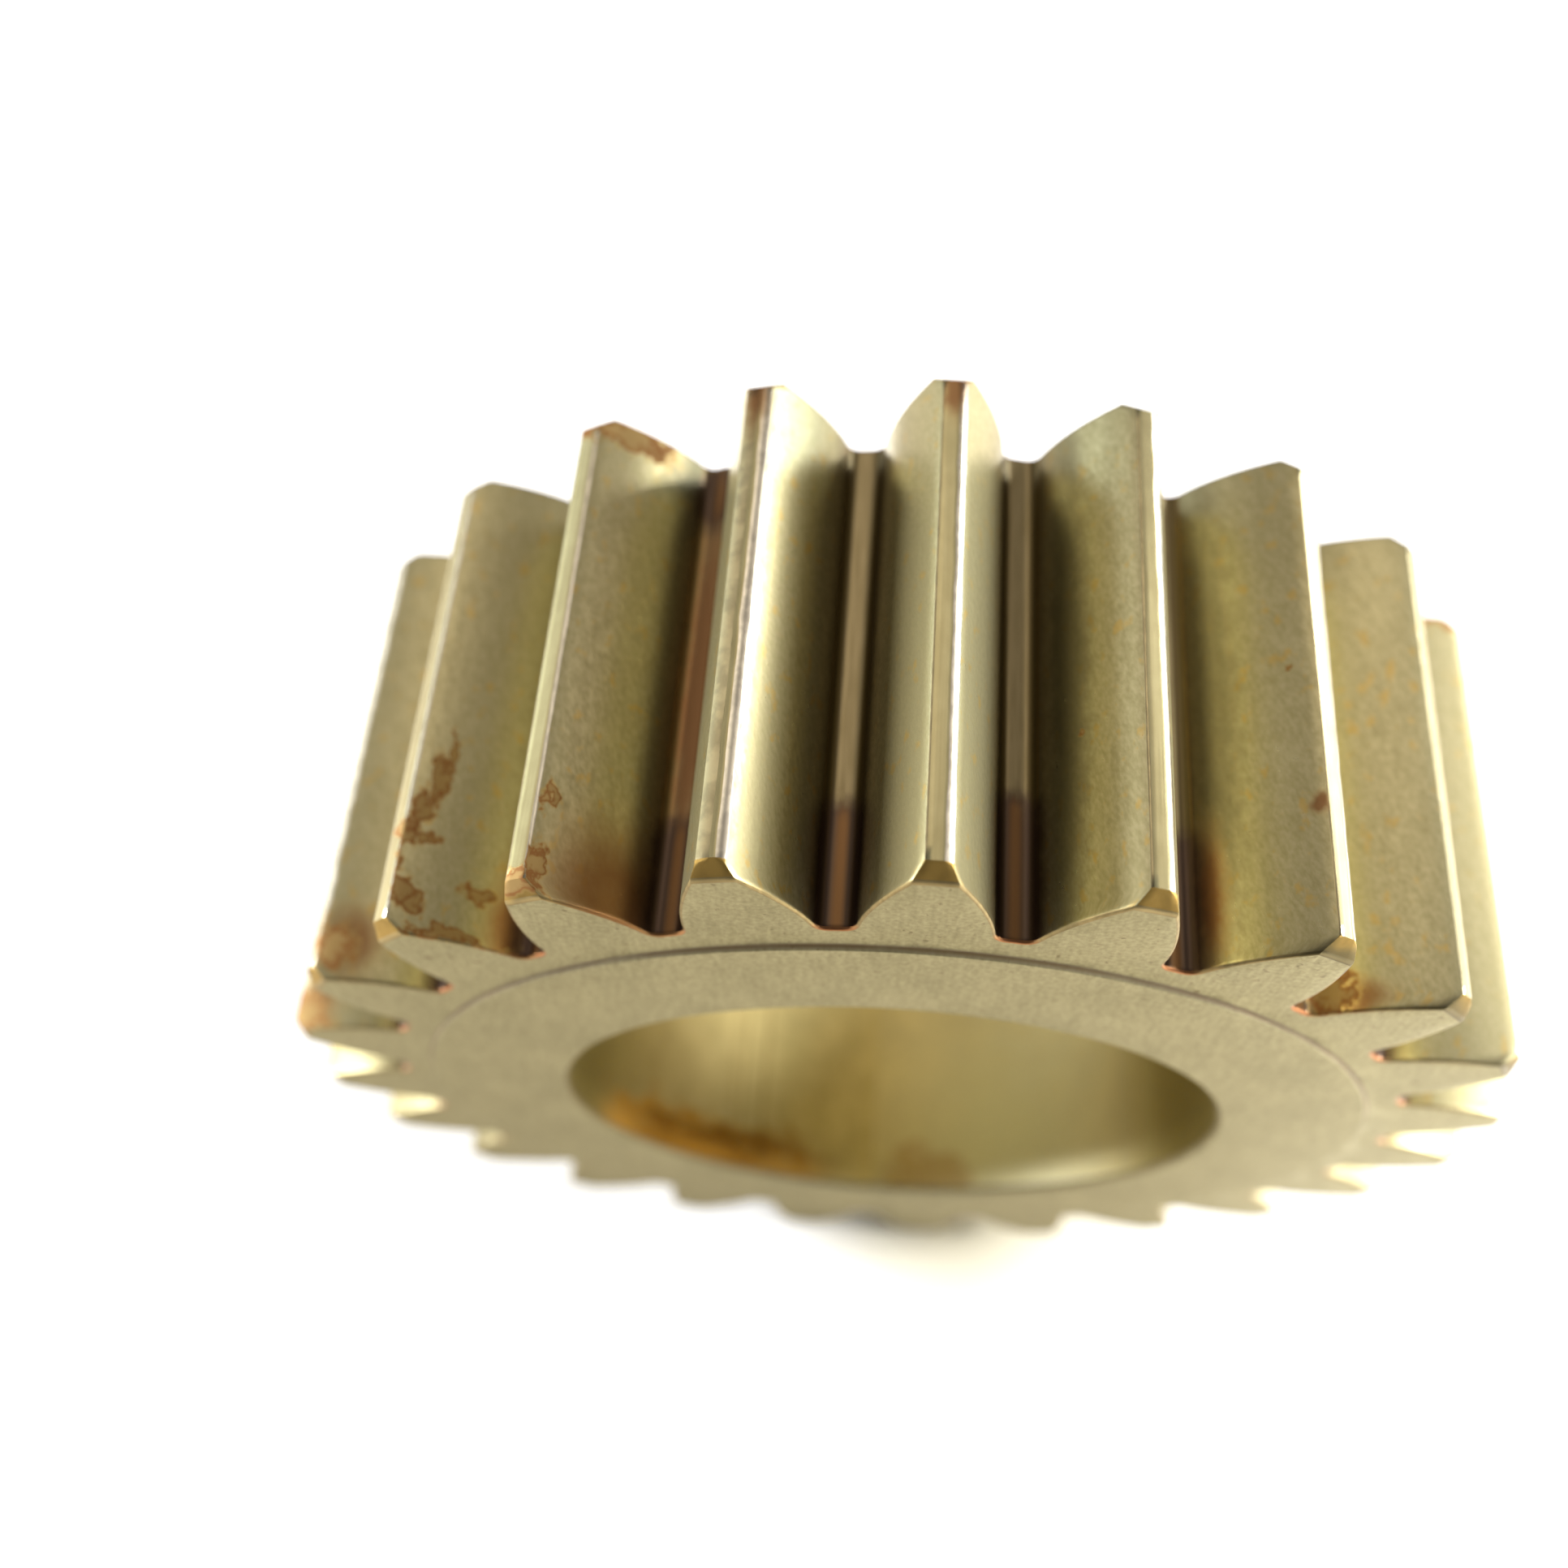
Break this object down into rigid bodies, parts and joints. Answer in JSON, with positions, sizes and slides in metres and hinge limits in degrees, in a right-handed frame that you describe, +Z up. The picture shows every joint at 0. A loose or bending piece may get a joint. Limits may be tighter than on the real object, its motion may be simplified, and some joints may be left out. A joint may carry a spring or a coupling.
{
  "type": "spur gear",
  "caption": "One-piece steel spur gear with involute teeth, bevelled tooth ends, a low thrust boss on each face and a plain through bore for a needle cage or pin.",
  "frame": {"origin": "on the gear's axis, halfway through its width", "axes": "+Y along the bore axis, through the width; +Z up through the middle of one tooth, so that the gear stands on the two tooth tips below; +X across the gear"},
  "size_m": [0.0638, 0.025, 0.0637],
  "materials": {
    "gear_steel": "case-hardened and shaved steel, satin end faces, finely ground flanks, honed bore, brown oil staining and light rust on the teeth"
  },
  "bodies": {
    "root": {"spur_gear": "gear_steel"}
  },
  "joints": []
}
